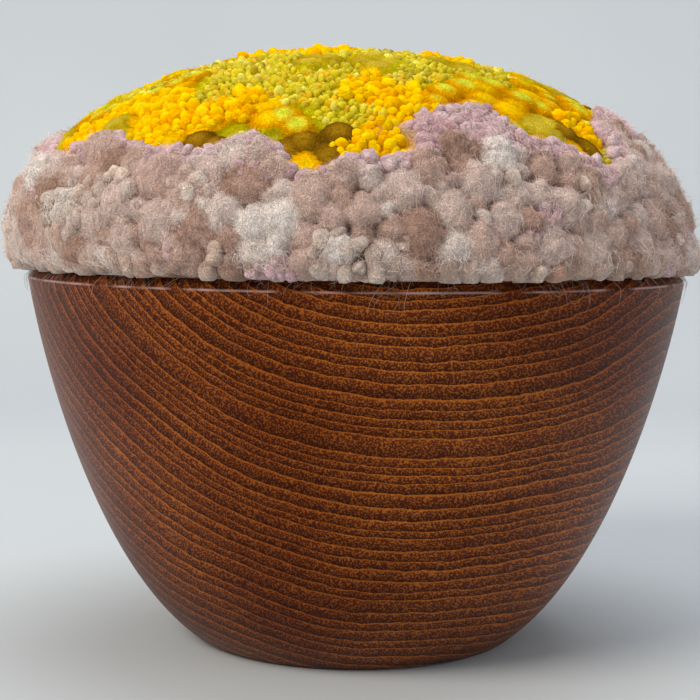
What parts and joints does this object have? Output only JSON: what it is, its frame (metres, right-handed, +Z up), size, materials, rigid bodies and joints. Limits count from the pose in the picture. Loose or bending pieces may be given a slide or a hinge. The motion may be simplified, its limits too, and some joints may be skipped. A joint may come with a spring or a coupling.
{
  "type": "punch needle dome in a turned wooden bowl",
  "caption": "Round punch needle cushion with a crown of bright wool loops and soft puffed flanks, seated in a turned wooden bowl with a chamfered rim and a flat foot.",
  "frame": {"origin": "centre of the bowl's flat foot", "axes": "+Z up along the bowl's axis, -Y towards the side seen in the picture, +X to that view's right"},
  "size_m": [0.2148, 0.2151, 0.1846],
  "materials": {
    "lacquered_teak": "turned teak with a satin lacquer",
    "wool_pile": "looped, knotted and puffed wool pile"
  },
  "bodies": {
    "root": {"bowl": "lacquered_teak", "punch_needle_cushion": "wool_pile"}
  },
  "joints": []
}
